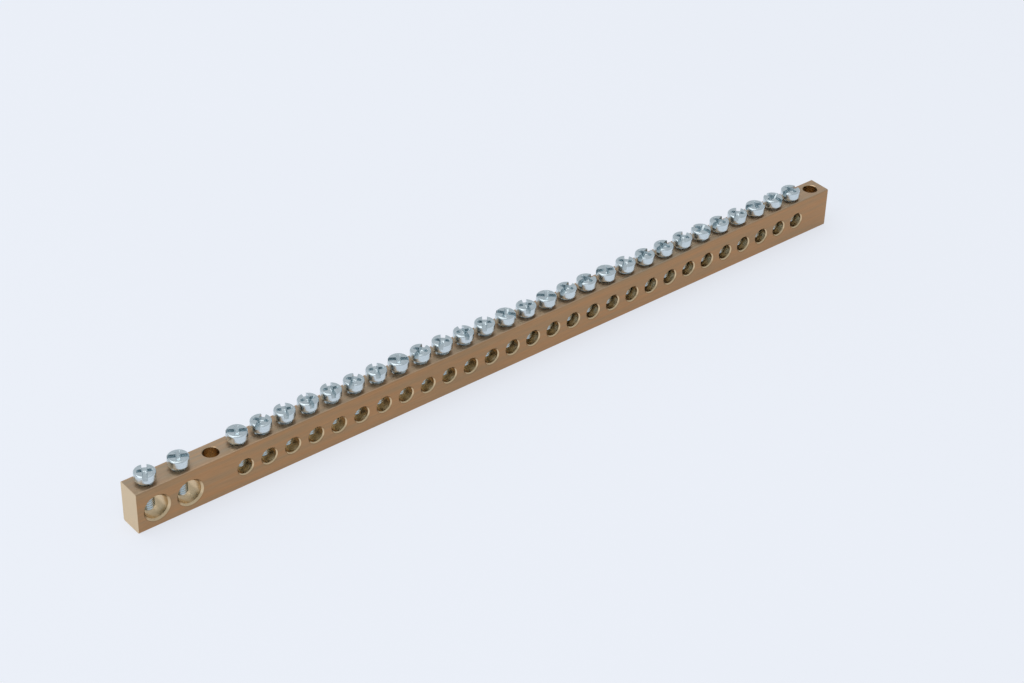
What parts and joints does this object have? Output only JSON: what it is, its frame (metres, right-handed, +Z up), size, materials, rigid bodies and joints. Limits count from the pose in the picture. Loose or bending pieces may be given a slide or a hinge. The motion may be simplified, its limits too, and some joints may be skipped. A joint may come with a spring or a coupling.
{
  "type": "earth terminal bar",
  "caption": "Long rectangular brass earth bar with a row of round cable holes through its face, each clamped by a plated screw from the top, and plain fixing holes.",
  "frame": {"origin": "centre of the bar's underside, which is the face it is fixed by", "axes": "+X along the bar, from the end with the two main cable holes to the far end; -Y is the front face, where the cable holes open; +Z is up, the way the clamping screws back out"},
  "size_m": [0.2486, 0.0074, 0.0163],
  "materials": {
    "brass": "drawn, with fine lines along the bar, slightly dulled",
    "zinc_plate": "bright zinc plate on steel"
  },
  "bodies": {
    "bar": {"bar": "brass"},
    "main_screw_1": {"main_screw_1": "zinc_plate"},
    "main_screw_2": {"main_screw_2": "zinc_plate"},
    "way_screw_01": {"way_screw_01": "zinc_plate"},
    "way_screw_02": {"way_screw_02": "zinc_plate"},
    "way_screw_03": {"way_screw_03": "zinc_plate"},
    "way_screw_04": {"way_screw_04": "zinc_plate"},
    "way_screw_05": {"way_screw_05": "zinc_plate"},
    "way_screw_06": {"way_screw_06": "zinc_plate"},
    "way_screw_07": {"way_screw_07": "zinc_plate"},
    "way_screw_08": {"way_screw_08": "zinc_plate"},
    "way_screw_09": {"way_screw_09": "zinc_plate"},
    "way_screw_10": {"way_screw_10": "zinc_plate"},
    "way_screw_11": {"way_screw_11": "zinc_plate"},
    "way_screw_12": {"way_screw_12": "zinc_plate"},
    "way_screw_13": {"way_screw_13": "zinc_plate"},
    "way_screw_14": {"way_screw_14": "zinc_plate"},
    "way_screw_15": {"way_screw_15": "zinc_plate"},
    "way_screw_16": {"way_screw_16": "zinc_plate"},
    "way_screw_17": {"way_screw_17": "zinc_plate"},
    "way_screw_18": {"way_screw_18": "zinc_plate"},
    "way_screw_19": {"way_screw_19": "zinc_plate"},
    "way_screw_20": {"way_screw_20": "zinc_plate"},
    "way_screw_21": {"way_screw_21": "zinc_plate"},
    "way_screw_22": {"way_screw_22": "zinc_plate"},
    "way_screw_23": {"way_screw_23": "zinc_plate"},
    "way_screw_24": {"way_screw_24": "zinc_plate"},
    "way_screw_25": {"way_screw_25": "zinc_plate"},
    "way_screw_26": {"way_screw_26": "zinc_plate"},
    "way_screw_27": {"way_screw_27": "zinc_plate"},
    "way_screw_28": {"way_screw_28": "zinc_plate"}
  },
  "joints": [
    {"name": "main_screw_1_travel", "type": "slide", "parent": "bar", "child": "main_screw_1", "axis": [0, 0, 1], "range_m": [-0.00088, 0.00535]},
    {"name": "main_screw_2_travel", "type": "slide", "parent": "bar", "child": "main_screw_2", "axis": [0, 0, 1], "range_m": [-0.00093, 0.0053]},
    {"name": "way_screw_01_travel", "type": "slide", "parent": "bar", "child": "way_screw_01", "axis": [0, 0, 1], "range_m": [-0.00038, 0.00368]},
    {"name": "way_screw_02_travel", "type": "slide", "parent": "bar", "child": "way_screw_02", "axis": [0, 0, 1], "range_m": [-0.00043, 0.00363]},
    {"name": "way_screw_03_travel", "type": "slide", "parent": "bar", "child": "way_screw_03", "axis": [0, 0, 1], "range_m": [-0.00058, 0.00348]},
    {"name": "way_screw_04_travel", "type": "slide", "parent": "bar", "child": "way_screw_04", "axis": [0, 0, 1], "range_m": [-0.00058, 0.00348]},
    {"name": "way_screw_05_travel", "type": "slide", "parent": "bar", "child": "way_screw_05", "axis": [0, 0, 1], "range_m": [-0.00068, 0.00338]},
    {"name": "way_screw_06_travel", "type": "slide", "parent": "bar", "child": "way_screw_06", "axis": [0, 0, 1], "range_m": [-0.00048, 0.00358]},
    {"name": "way_screw_07_travel", "type": "slide", "parent": "bar", "child": "way_screw_07", "axis": [0, 0, 1], "range_m": [-0.00063, 0.00343]},
    {"name": "way_screw_08_travel", "type": "slide", "parent": "bar", "child": "way_screw_08", "axis": [0, 0, 1], "range_m": [-0.00068, 0.00338]},
    {"name": "way_screw_09_travel", "type": "slide", "parent": "bar", "child": "way_screw_09", "axis": [0, 0, 1], "range_m": [-0.00063, 0.00343]},
    {"name": "way_screw_10_travel", "type": "slide", "parent": "bar", "child": "way_screw_10", "axis": [0, 0, 1], "range_m": [-0.00058, 0.00348]},
    {"name": "way_screw_11_travel", "type": "slide", "parent": "bar", "child": "way_screw_11", "axis": [0, 0, 1], "range_m": [-0.00058, 0.00348]},
    {"name": "way_screw_12_travel", "type": "slide", "parent": "bar", "child": "way_screw_12", "axis": [0, 0, 1], "range_m": [-0.00048, 0.00358]},
    {"name": "way_screw_13_travel", "type": "slide", "parent": "bar", "child": "way_screw_13", "axis": [0, 0, 1], "range_m": [-0.00043, 0.00363]},
    {"name": "way_screw_14_travel", "type": "slide", "parent": "bar", "child": "way_screw_14", "axis": [0, 0, 1], "range_m": [-0.00018, 0.00388]},
    {"name": "way_screw_15_travel", "type": "slide", "parent": "bar", "child": "way_screw_15", "axis": [0, 0, 1], "range_m": [-0.00033, 0.00373]},
    {"name": "way_screw_16_travel", "type": "slide", "parent": "bar", "child": "way_screw_16", "axis": [0, 0, 1], "range_m": [-0.00018, 0.00388]},
    {"name": "way_screw_17_travel", "type": "slide", "parent": "bar", "child": "way_screw_17", "axis": [0, 0, 1], "range_m": [-0.00008, 0.00398]},
    {"name": "way_screw_18_travel", "type": "slide", "parent": "bar", "child": "way_screw_18", "axis": [0, 0, 1], "range_m": [-0.00013, 0.00393]},
    {"name": "way_screw_19_travel", "type": "slide", "parent": "bar", "child": "way_screw_19", "axis": [0, 0, 1], "range_m": [-0.00028, 0.00378]},
    {"name": "way_screw_20_travel", "type": "slide", "parent": "bar", "child": "way_screw_20", "axis": [0, 0, 1], "range_m": [-0.00008, 0.00398]},
    {"name": "way_screw_21_travel", "type": "slide", "parent": "bar", "child": "way_screw_21", "axis": [0, 0, 1], "range_m": [-0.00008, 0.00398]},
    {"name": "way_screw_22_travel", "type": "slide", "parent": "bar", "child": "way_screw_22", "axis": [0, 0, 1], "range_m": [-0.00018, 0.00388]},
    {"name": "way_screw_23_travel", "type": "slide", "parent": "bar", "child": "way_screw_23", "axis": [0, 0, 1], "range_m": [-0.00013, 0.00393]},
    {"name": "way_screw_24_travel", "type": "slide", "parent": "bar", "child": "way_screw_24", "axis": [0, 0, 1], "range_m": [-0.00008, 0.00398]},
    {"name": "way_screw_25_travel", "type": "slide", "parent": "bar", "child": "way_screw_25", "axis": [0, 0, 1], "range_m": [-0.00013, 0.00393]},
    {"name": "way_screw_26_travel", "type": "slide", "parent": "bar", "child": "way_screw_26", "axis": [0, 0, 1], "range_m": [-0.00008, 0.00398]},
    {"name": "way_screw_27_travel", "type": "slide", "parent": "bar", "child": "way_screw_27", "axis": [0, 0, 1], "range_m": [-0.00008, 0.00398]},
    {"name": "way_screw_28_travel", "type": "slide", "parent": "bar", "child": "way_screw_28", "axis": [0, 0, 1], "range_m": [-0.00008, 0.00398]}
  ]
}
